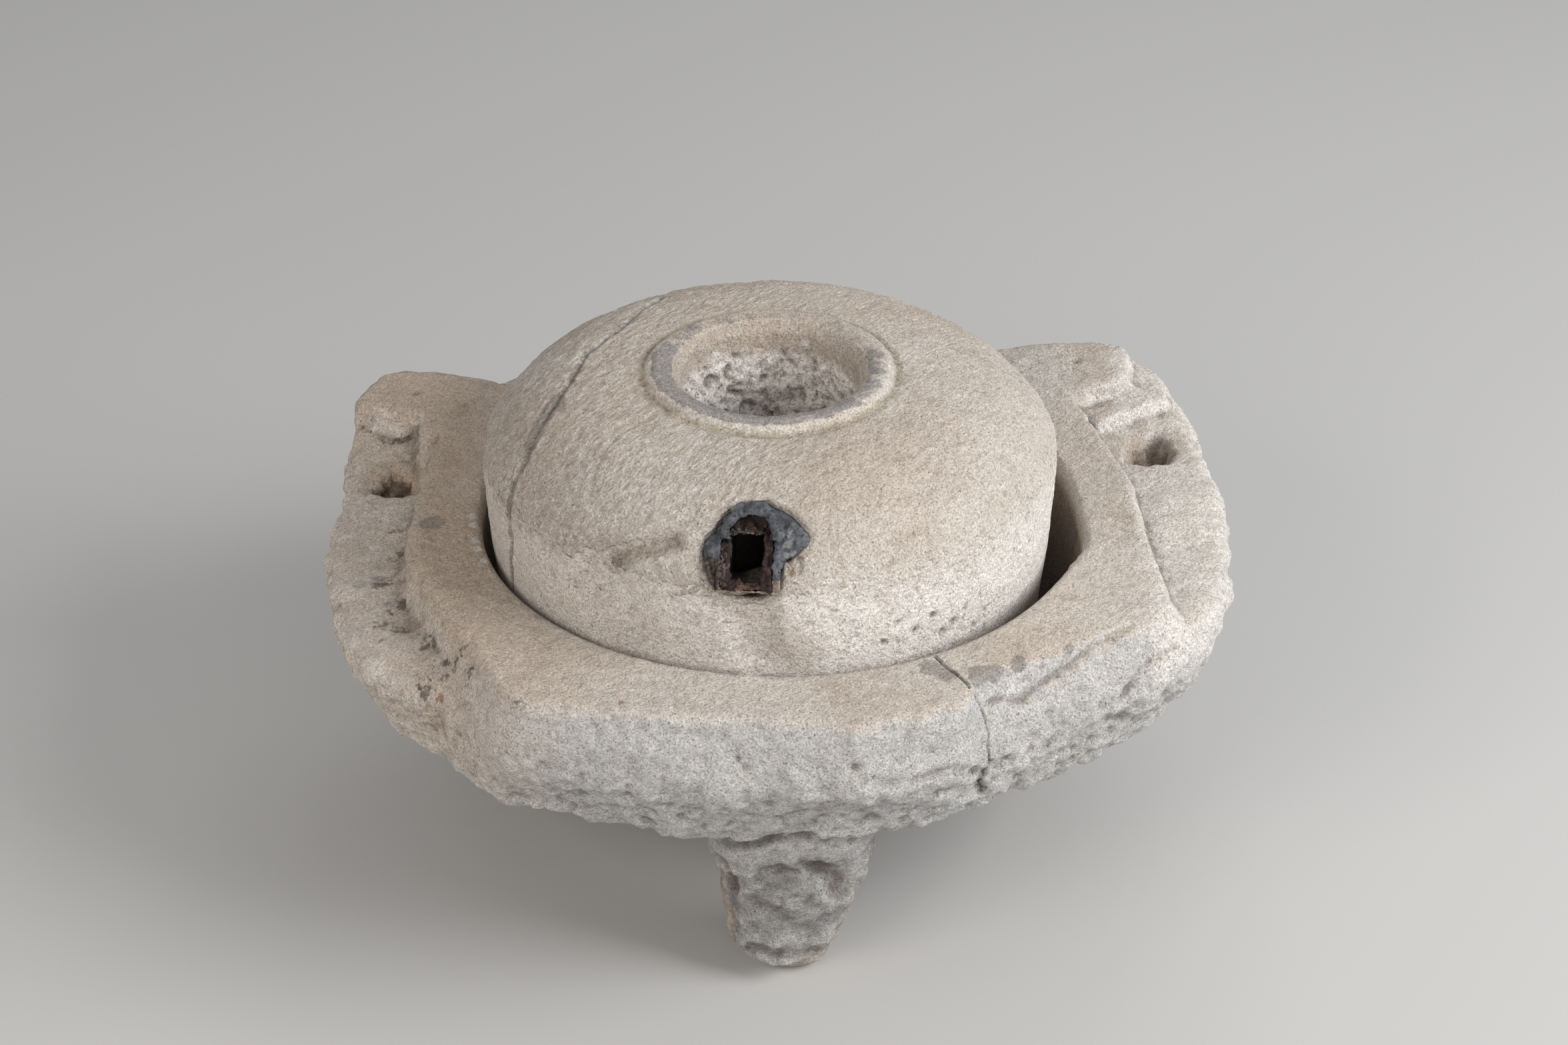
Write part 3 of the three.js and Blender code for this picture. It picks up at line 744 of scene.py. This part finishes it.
runner = {
    "voxel": 0.0017,
    "softRounds": 5,
    "shoulderRounds": 170,
    "triangles": 176000,
    "grindingFace": 0.1653,
    "outline": [  # height and the most radius there, clear of the basin
        (0.1653, 0.1862), (0.1713, 0.1897), (0.210, 0.1935), (0.242, 0.1975), (0.270, 0.2025), (0.36, 0.2060),
    ],
    "texture": [
        ("CLOUDS", 0.120, 0.0036, "crown", 1.0, 0),
        ("CLOUDS", 0.030, 0.0020, "crown", 1.0, 0),
        ("CLOUDS", 0.015, 0.0120, "hopper", 0.7, 0),
        ("CLOUDS", 0.007, 0.0070, "hopper", 0.8, 0),
        ("CLOUDS", 0.030, 0.0024, "collar", 1.0, 0),
        ("CLOUDS", 0.006, 0.0018, "rough", 1.0, 0),
    ],
    "dents": {
        "count": 2600, "turn": -128, "spread": 14, "seed": 7,
        "length": (0.004, 0.010), "width": (0.0014, 0.0024), "depth": (0.00015, 0.00050),
    },
    "facets": [  # path, half width, depth
        ([(-0.112, -0.165, 0.298), (-0.098, -0.175, 0.262)], 0.034, 0.0050),
        ([(-0.106, -0.169, 0.312), (-0.088, -0.173, 0.322), (-0.067, -0.177, 0.331)], 0.009, 0.0036),
        ([(-0.016, -0.203, 0.298), (-0.012, -0.204, 0.262)], 0.022, 0.0036),
        ([(0.040, -0.196, 0.306), (0.060, -0.190, 0.296)], 0.016, 0.0020),
    ],
    "pits": [
        (0.104, -0.171, 0.269, 0.003), (0.118, -0.1595, 0.256, 0.004), (0.132, -0.146, 0.245, 0.003),
        (0.141, -0.1375, 0.253, 0.003), (0.124, -0.153, 0.264, 0.002), (0.111, -0.165, 0.252, 0.003),
        (0.092, -0.177, 0.262, 0.003), (0.080, -0.183, 0.272, 0.002), (0.071, -0.186, 0.258, 0.003),
    ],
    "pitDepth": 0.0028,
    "chip": (29, -8, 6.5, 8.0, 0.0022),  # across, rise, half width and height in mm, depth in metres
    "crack": [
        (-0.081, 0.120, 0.354), (-0.0965, 0.0935, 0.357), (-0.1065, 0.069, 0.359), (-0.120, 0.0455, 0.359),
        (-0.132, 0.0275, 0.3575), (-0.143, -0.015, 0.356), (-0.151, -0.037, 0.352), (-0.160, -0.056, 0.3455),
        (-0.169, -0.078, 0.333), (-0.1755, -0.084, 0.324), (-0.180, -0.0985, 0.304),
        (-0.179, -0.0995, 0.2815), (-0.1805, -0.089, 0.241),
    ],
    "crackBlots": [
        (-0.151, -0.037, 0.345, 0.016), (-0.158, -0.050, 0.340, 0.016), (-0.164, -0.062, 0.336, 0.012),
    ],
    "crackSmears": [
        (-0.172, -0.068, 0.332, 0.010), (-0.178, -0.080, 0.320, 0.009), (-0.183, -0.092, 0.302, 0.008),
    ],
    "hopperSpecks": [
        (-0.035, 0.036, 0.352, 0.006), (0.022, 0.054, 0.352, 0.006), (0.010, 0.050, 0.338, 0.008),
        (-0.012, 0.050, 0.340, 0.007), (0.046, 0.036, 0.352, 0.004),
    ],
    "bandHalfWidth": 0.0045,  # the mortar that mends the crack
    "bandDepth": 0.0008,
    "crackHalfWidth": 0.0018,
    "crackDepth": 0.0018,
    "refineWithin": 0.007,
    "look": {
        "pale": (0.72, 0.675, 0.620), "warm": (0.65, 0.580, 0.510), "brown": (0.40, 0.325, 0.255),
        "cool": (0.90, 0.865, 0.830), "tan": (0.385, 0.315, 0.255), "dirt": (0.130, 0.098, 0.072),
        "grime": (0.22, 0.155, 0.105), "crest": (0.80, 0.775, 0.745), "seam": (0.030, 0.024, 0.019),
        "patchy": 0.36, "specks": 0.52, "pores": 0.62,
        "dirtAmount": 0.60, "crestAmount": 0.40, "bump": 0.0016,
        "strokeTurn": math.radians(-128),
        "stains": {
            "slate": (slateStain, 0.72, 60, 2.2), "mortar": (mortarGrey, 0.80, 110, 1.6),
            "chalk": (chalkStain, 0.85, 190, 1.2), "rust": (rustStain, 0.6, 210, 2.4),
            "moss": (mossStain, 0.45, 90, 1.4), "pitted": (darkMarkAndShadeTint, 0.75, 150, 3.2),
        },
    },
}


def dentRunner(stone):  # short pick strokes, all struck the same way
    co, out = places(stone), facings(stone)
    tree = treeOf(co)
    dents = runner["dents"]
    chance = np.random.default_rng(dents["seed"])
    away = awayFrom(co, runnerAxis)
    outer = np.nonzero((away > 0.095) & (co[:, 2] > 0.258) & (out[:, 2] > 0.02))[0]
    for _ in range(dents["count"]):
        centre = chance.choice(outer)
        turn = math.radians(dents["turn"] + chance.normal(0, dents["spread"]))
        along = np.array((math.cos(turn), math.sin(turn), 0.0))
        along -= out[centre] * (along @ out[centre])
        along /= np.linalg.norm(along)
        across = np.cross(out[centre], along)
        length, width, depth = (chance.uniform(*dents[key]) for key in ("length", "width", "depth"))
        found = np.array([hit[1] for hit in tree.find_range(co[centre], length)])
        rel = co[found] - co[centre]
        reach = 1 - ease(((rel @ along) / length) ** 2 + ((rel @ across) / width) ** 2, 0.0, 1.0)
        co[found] -= out[found] * (reach * depth)[:, None]
    put(stone, co)


def textureRunner(stone):
    co, out = places(stone), facings(stone)
    z = co[:, 2]
    away = awayFrom(co, runnerAxis)
    crown = ease(away, 0.088, 0.093) * ease(z, 0.240, 0.262)
    hopper = (1 - ease(away, 0.060, 0.064)) * ease(z, 0.226, 0.240)
    hopper *= 1 - ease(z, 0.340, 0.352)
    collar = (1 - ease(away, 0.086, 0.092)) * ease(z, 0.345, 0.355)
    weigh(stone, "crown", crown)
    weigh(stone, "hopper", hopper)
    weigh(stone, "collar", collar)
    weigh(stone, "rough", np.clip(crown + collar * 0.5 + hopper, 0, 1))
    roughen(stone, runner["texture"])
    dentRunner(stone)
    below = 1 - ease(z, 0.222, 0.238)
    thinned(stone, runner["triangles"], np.maximum(below, ease(-out[:, 2], 0.2, 0.5)))


def markRunner(stone):
    for path, halfWidth, depth in runner["facets"]:
        cutLine(stone, laidOn(stone, path), halfWidth, depth)
    sink(stone, spots(places(stone), laidMarks(stone, runner["pits"])) * runner["pitDepth"])
    across, rise, halfWidth, halfHeight, depth = runner["chip"]
    co = places(stone)
    refineNear(stone, patch(co, across / 1000, rise / 1000, halfWidth / 700, halfHeight / 700) > 0, 1)
    chip = patch(places(stone), across / 1000, rise / 1000, halfWidth / 1000, halfHeight / 1000)
    sink(stone, chip * depth)
    crack = laidOn(stone, runner["crack"])
    refineNear(stone, nearLine(places(stone), crack) < runner["refineWithin"], 1)
    cutLine(stone, crack, runner["bandHalfWidth"], runner["bandDepth"])
    cutLine(stone, crack, runner["crackHalfWidth"], runner["crackDepth"])
    return crack


def paintRunner(stone, crack):
    co, out = places(stone), facings(stone)
    x, y, z = co.T
    away = awayFrom(co, runnerAxis)
    across, rise, height = onSocket(co)
    paintRelief(stone, 0.0008, 0.0026)
    top = ease(away, 0.089, 0.093)
    left = (1 - ease(x, -0.19, -0.06)) * top
    struck = 0.45 + 0.55 * (1 - ease(x, -0.03, 0.08))
    paint(stone, "struck", top * ease(out[:, 2], 0.1, 0.4) * struck)

    # the collar: slate on its crest, tan inside its lip, and a pale pitted wall that darkens downwards
    band = ease(away, 0.0655, 0.069) * (1 - ease(away, 0.079, 0.085)) * ease(z, 0.358, 0.364)
    far = ease(y, -0.010, 0.050)
    paint(stone, "slate", band * (0.70 + 0.30 * (1 - ease(x, -0.02, 0.06))) * (1 - 0.6 * far))
    lip = (1 - ease(away, 0.066, 0.070)) * ease(z, 0.338, 0.350)
    wall = (1 - ease(away, 0.061, 0.065)) * (1 - ease(z, 0.338, 0.350))
    below = (1 - ease(nearLine(co, [(-0.02, -0.200, 0.300), (0.01, -0.200, 0.262)]), 0.006, 0.030)) * 0.42
    # painted shade: tan along the small scarp left of the socket stands for its shaded face
    scarp = (1 - ease(nearLine(co, runner["facets"][1][0]), 0.003, 0.013)) * 0.40
    paint(stone, "tan", np.max([lip * 0.62, band * far * 0.6, left * 0.12, below, scarp], axis=0))
    side = ease(away, 0.165, 0.190) * (1 - ease(z, 0.278, 0.326))
    side *= 0.45 + 0.50 * ease(x, -0.10, 0.0)
    paint(stone, "cool", np.maximum(wall * ease(z, 0.262, 0.30), side))
    deep = 1 - ease(z, 0.240, 0.315)
    # the hopper wall is painted darker towards the bottom
    paint(stone, "grimy", wall * deep * 0.35)
    paint(stone, "pitted", wall * (0.15 + 0.40 * deep))
    groove = (1 - ease(np.abs(away - 0.0885), 0.0015, 0.006)) * ease(z, 0.345, 0.352)
    paint(stone, "moss", groove * 0.6)

    # the mended crack, with white flecks along its upper half
    fromCrack = nearLine(co, crack)
    halfWidth = runner["bandHalfWidth"]
    blot = spots(co, laidMarks(stone, runner["crackBlots"]))
    band = 1 - ease(fromCrack, halfWidth * 0.3, halfWidth * (1.3 + 1.6 * blot))
    paint(stone, "mortar", band * (0.72 + 0.25 * blot))
    paint(stone, "seam", (1 - ease(fromCrack, 0.0003, 0.0012)) * 0.9)
    flecks = ease(y, -0.01, 0.03) * (1 - ease(fromCrack, 0.002, 0.006)) * 0.5
    flecks = np.maximum(flecks, spots(co, laidMarks(stone, runner["crackSmears"])) * 0.42)
    flecks = np.maximum(flecks, spots(co, laidMarks(stone, runner["hopperSpecks"])) * 0.55)

    # bare stone broken off beside the lead, and rusty dirt round it
    chipAcross, chipRise, chipWidth, chipHeight, _ = runner["chip"]
    fromChip = np.hypot((across * 1000 - chipAcross) / chipWidth, (rise * 1000 - chipRise) / chipHeight)
    fromChip = np.where(np.abs(height) < 0.03, fromChip, 9)
    edge = (1 - ease(np.abs(fromChip - 1.0), 0.06, 0.16)) * ease(across, 0.029, 0.032)
    paint(stone, "chalk", np.maximum(flecks, edge))
    pits = laidMarks(stone, [(x, y, z, r * 3.2) for x, y, z, r in runner["pits"] if x > 0.1])
    fromCorner = np.hypot(across + 0.0245, rise + 0.014)
    rim = (1 - ease(np.abs(fromCorner - 0.008), 0.002, 0.006)) * (np.abs(height) < 0.03)
    tip = patch(co, 0.037, 0.0, 0.007, 0.005)
    bare = 1 - ease(fromChip, 0.8, 1.0)
    eaten = ease(x, 0.01, 0.06) * (1 - ease(z, 0.276, 0.296))
    eaten *= 1 - ease(y, -0.14, -0.11)
    rusty = [eaten * 0.20, spots(co, pits) * 0.30, rim * 0.5, tip * 0.45, bare * 0.42]
    paint(stone, "rust", np.max(rusty, axis=0))


def makeRunner():
    stone = solidCopy("upper_stone", "runnerStone")
    evenMesh(stone, runner["voxel"], runner["softRounds"])
    co = places(stone)
    weigh(stone, "shoulder", ease(awayFrom(co, runnerAxis), 0.140, 0.175) * ease(co[:, 2], 0.255, 0.285))
    applied(stone, "SMOOTH", factor=0.5, iterations=runner["shoulderRounds"], vertex_group="shoulder")
    textureRunner(stone)
    crack = markRunner(stone)

    # keep clear of the basin: the side stays within its turned outline and the grinding face stays flat
    co = places(stone)
    away = awayFrom(co, runnerAxis)
    limit = np.interp(co[:, 2], *zip(*runner["outline"]))
    shrink = np.where(away > limit, limit / np.maximum(away, 1e-9), 1)
    co[:, :2] = runnerAxis[:2] + (co[:, :2] - runnerAxis[:2]) * shrink[:, None]
    co[:, 2] = np.maximum(co[:, 2], runner["grindingFace"])
    put(stone, co)

    paintRunner(stone, crack)
    stone.data.materials.append(sandstone("runnerSandstone", runner["look"]))
    finished(stone, "upper_stone", "upper_stone")


makeRunner()


# the poured lead round the socket

leadwork = {
    "voxel": 0.0008,
    "softRounds": 7,
    "spread": 0.0014,  # how far the poured edge laps over the stone
    "archCentre": (0.0005, 0.0122),  # across and rise
    "archRadius": 0.0163,
    "archThickness": 0.0035,
    "archFoot": 0.0040,  # how far the bead runs down below its centre
    "gapDepth": 0.0040,
    "letDown": [(0.004, 0), (0.010, 0.0010), (0.020, 0.0052), (0.028, 0.0098), (0.036, 0.0145)],  # rise, drop
    "sideDrop": 2.7,  # more drop towards the sides, by the square of across
    "lumps": [
        ("CLOUDS", 0.015, 0.0045, "face", 1.0, 0),
        ("CLOUDS", 0.006, 0.0038, "face", 1.0, 0),
        ("CLOUDS", 0.0028, 0.0020, "face", 1.0, 0),
    ],
    "dark": (0.046, 0.050, 0.059),
    "grey": (0.111, 0.120, 0.136),
    "worn": (0.24, 0.245, 0.25),
    "dirty": (0.085, 0.062, 0.045),
    "stone": (0.30, 0.245, 0.195),
    "scratch": (0.40, 0.41, 0.43),
    "pit": (0.020, 0.018, 0.018),
    "grit": (0.030, 0.025, 0.022),
}


def leadFinish():
    material, tree, shader, where = newMaterial("weatheredLead")
    mottle = between(tree, cloud(tree, where, 130, 6, 0.66), 0.38, 0.66)
    colour = tint(tree, mottle, leadwork["dark"], leadwork["grey"])
    colour = stained(tree, colour, where, {
        "worn": (leadwork["worn"], 0.7, 190, 2.6), "dirty": (leadwork["dirty"], 0.85, 240, 1.0),
        "stone": (leadwork["stone"], 0.95, 300, 0.8),
    })
    scratches = between(tree, cloud(tree, where, 420, 5, 0.7), 0.61, 0.73)
    colour = tint(tree, times(tree, scratches, 0.5), colour, leadwork["scratch"])
    pits = between(tree, cloud(tree, where, 240, 3), 0.60, 0.70)
    colour = tint(tree, times(tree, pits, 0.75), colour, leadwork["pit"])
    dirt = times(tree, painted(tree, "hollow"), 0.7)
    colour = tint(tree, dirt, colour, leadwork["grit"])
    plug(tree, shader.inputs["Base Color"], colour)
    shader.inputs["Roughness"].default_value = 0.58
    shader.inputs["Metallic"].default_value = 0.25
    height = maths(tree, "SUBTRACT", cloud(tree, where, 340, 5, 0.6), pits)
    bump = addNode(tree, "ShaderNodeBump", {"Height": height, "Distance": 0.0010})
    plug(tree, shader.inputs["Normal"], bump)
    return material


def addArch(lead):  # the thick rounded bead poured over the top of the iron
    bpy.ops.object.select_all(action="DESELECT")
    middle = socketSpot + socketAcross * leadwork["archCentre"][0] + socketRise * leadwork["archCentre"][1]
    turn = Vector(socketOut).to_track_quat("Z", "Y").to_euler()
    bpy.ops.mesh.primitive_torus_add(location=middle - socketOut * 0.0008, rotation=turn, major_segments=64,
                                     minor_segments=24, major_radius=leadwork["archRadius"],
                                     minor_radius=leadwork["archThickness"])
    arch = bpy.context.object
    bpy.ops.object.transform_apply(location=True, rotation=True, scale=True)
    bpy.ops.object.mode_set(mode="EDIT")
    bpy.ops.mesh.select_all(action="SELECT")
    bpy.ops.mesh.bisect(plane_co=middle - socketRise * leadwork["archFoot"], plane_no=socketRise,
                        use_fill=True, clear_inner=True)
    bpy.ops.object.mode_set(mode="OBJECT")
    bpy.ops.object.select_all(action="DESELECT")
    arch.select_set(True)
    lead.select_set(True)
    bpy.context.view_layer.objects.active = lead
    bpy.ops.object.join()


def settle(piece):  # lets the top of the setting down onto the rounded shoulder of the stone
    co = places(piece)
    across, rise, height = onSocket(co)
    drop = np.interp(rise, *zip(*leadwork["letDown"]))
    drop += leadwork["sideDrop"] * across ** 2 * ease(rise, -0.012, 0.008)
    put(piece, co - np.outer(drop * ease(height, -0.020, -0.004), socketOut))


def makeLead():
    lead = solidCopy("lead_setting", "leadSetting")
    addArch(lead)
    evenMesh(lead, leadwork["voxel"], leadwork["softRounds"])
    co, out = places(lead), facings(lead)
    across, rise, height = onSocket(co)
    face = ease(height, -0.012, -0.004)
    beyondIron = np.max([np.abs(across + holeShift) - 0.0165, rise - 0.024, -0.024 - rise], axis=0)
    weigh(lead, "edge", face * ease(beyondIron, 0.001, 0.003) * (1 - ease(out @ socketOut, 0.3, 0.7)))
    swell(lead, "edge", leadwork["spread"])
    front = face * ease(out @ socketOut, 0.2, 0.6)
    gap = face * (1 - ease(across, -0.0190, -0.0175)) * (1 - ease(rise, -0.007, -0.002))
    foot = face * (1 - ease(rise - 0.006 * ease(across, 0.012, 0.016), -0.0240, -0.0220))
    weigh(lead, "gap", np.maximum(gap, foot * 0.35) * front)
    swell(lead, "gap", -leadwork["gapDepth"])
    weigh(lead, "face", face)
    roughen(lead, leadwork["lumps"])
    settle(lead)
    co = places(lead)
    paintRelief(lead, 0.0004, 0.0012)
    wing = np.maximum(patch(co, 0.029, 0.014, 0.010, 0.005), patch(co, 0.025, 0.003, 0.005, 0.007))
    paint(lead, "worn", np.maximum(wing, patch(co, -0.009, 0.027, 0.007, 0.004)) * 0.45)
    # the gap at the lower left of the lead is painted darker
    paint(lead, "dirty", gap)
    paint(lead, "stone", foot)
    lead.data.materials.append(leadFinish())
    finished(lead, "upper_stone", "lead_setting")


makeLead()


# the iron socket

ironwork = {
    "voxel": 0.0007,
    "softRounds": 4,
    "archSink": 0.0042,
    "stripSink": 0.0012,
    "dustRise": 0.0100,
    "scale": [  # rust lumps
        ("VORONOI", 0.0065, 0.0040, "arch", 1.0, 0),
        ("CLOUDS", 0.010, 0.0085, "face", 1.0, 0),
        ("CLOUDS", 0.0045, 0.0050, "face", 1.0, 0),
    ],
    "dark": (0.016, 0.011, 0.010),
    "brown": (0.040, 0.022, 0.017),
    "red": (0.058, 0.025, 0.021),
    "plate": (0.150, 0.070, 0.050),
    "pink": (0.145, 0.100, 0.090),
    "orange": (0.34, 0.130, 0.045),
    "crust": (0.25, 0.215, 0.190),
    "dust": (0.085, 0.070, 0.050),
    "soot": (0.010, 0.007, 0.006),
}


def ironFinish():
    material, tree, shader, where = newMaterial("rustedIron")
    mottle = between(tree, cloud(tree, where, 160, 6, 0.68), 0.38, 0.66)
    colour = tint(tree, mottle, ironwork["dark"], ironwork["brown"])
    colour = stained(tree, colour, where, {
        "red": (ironwork["red"], 0.8, 220, 2.4), "plate": (ironwork["plate"], 0.75, 240, 2.2),
        "pink": (ironwork["pink"], 0.8, 240, 2.6), "dust": (ironwork["dust"], 0.85, 200, 2.0),
        "crust": (ironwork["crust"], 0.8, 260, 2.8),
    })
    flecks = between(tree, cloud(tree, where, 230, 4, 0.6), 0.57, 0.66)
    flecks = times(tree, flecks, painted(tree, "orange"))
    colour = tint(tree, times(tree, flecks, 0.9), colour, ironwork["orange"])
    dirt = times(tree, painted(tree, "hollow"), 0.75)
    colour = tint(tree, dirt, colour, ironwork["soot"])
    plug(tree, shader.inputs["Base Color"], colour)
    shader.inputs["Roughness"].default_value = 0.85
    bump = addNode(tree, "ShaderNodeBump", {"Height": cloud(tree, where, 420, 6, 0.65), "Distance": 0.0014})
    plug(tree, shader.inputs["Normal"], bump)
    return material


def makeIron():
    iron = solidCopy("iron_socket", "ironSocket")
    evenMesh(iron, ironwork["voxel"], ironwork["softRounds"])
    co, out = places(iron), facings(iron)
    across, rise, height = onSocket(co)
    face = ease(height, -0.014, -0.004)
    front = face * ease(out @ socketOut, 0.2, 0.6)
    weigh(iron, "arch", front * ease(rise, 0.010, 0.014))
    swell(iron, "arch", -ironwork["archSink"])
    weigh(iron, "strip", front * (1 - ease(rise, 0.008, 0.012)))
    swell(iron, "strip", -ironwork["stripSink"])
    weigh(iron, "face", face)
    roughen(iron, ironwork["scale"])

    # dust lies in the bottom of the hole and climbs towards the right
    floor = (np.abs(across + holeShift) < 0.0125) * (rise < -0.015) * (out @ socketRise > 0.3)
    heap = ease(-height, 0.004, 0.026) * (0.55 + 0.45 * ease(across, -0.012, 0.010)) * floor
    put(iron, places(iron) + np.outer(heap * ironwork["dustRise"], socketRise))
    settle(iron)

    paintRelief(iron, 0.0004, 0.0012)
    paint(iron, "pink", face * (1 - ease(across, -0.0150, -0.0120)) * (1 - ease(rise, 0.000, 0.010)) * 0.52)
    paint(iron, "red", face * ease(across, 0.0080, 0.0110) * 0.5)
    plate = (1 - ease(rise, -0.0210, -0.0180)) * (1 - ease(np.abs(across + 0.001), 0.006, 0.013))
    paint(iron, "plate", face * plate * 0.62)
    paint(iron, "orange", front * ease(rise, 0.012, 0.016))
    crust = (1 - ease(np.abs(rise - 0.0140), 0.001, 0.0042)) * (0.60 - 0.22 * ease(across, -0.006, 0.004))
    paint(iron, "crust", face * crust)
    paint(iron, "dust", floor * ease(-height, 0.002, 0.006) * (0.35 + 0.3 * ease(across, -0.008, 0.008)))
    iron.data.materials.append(ironFinish())
    finished(iron, "upper_stone", "iron_socket")


makeIron()
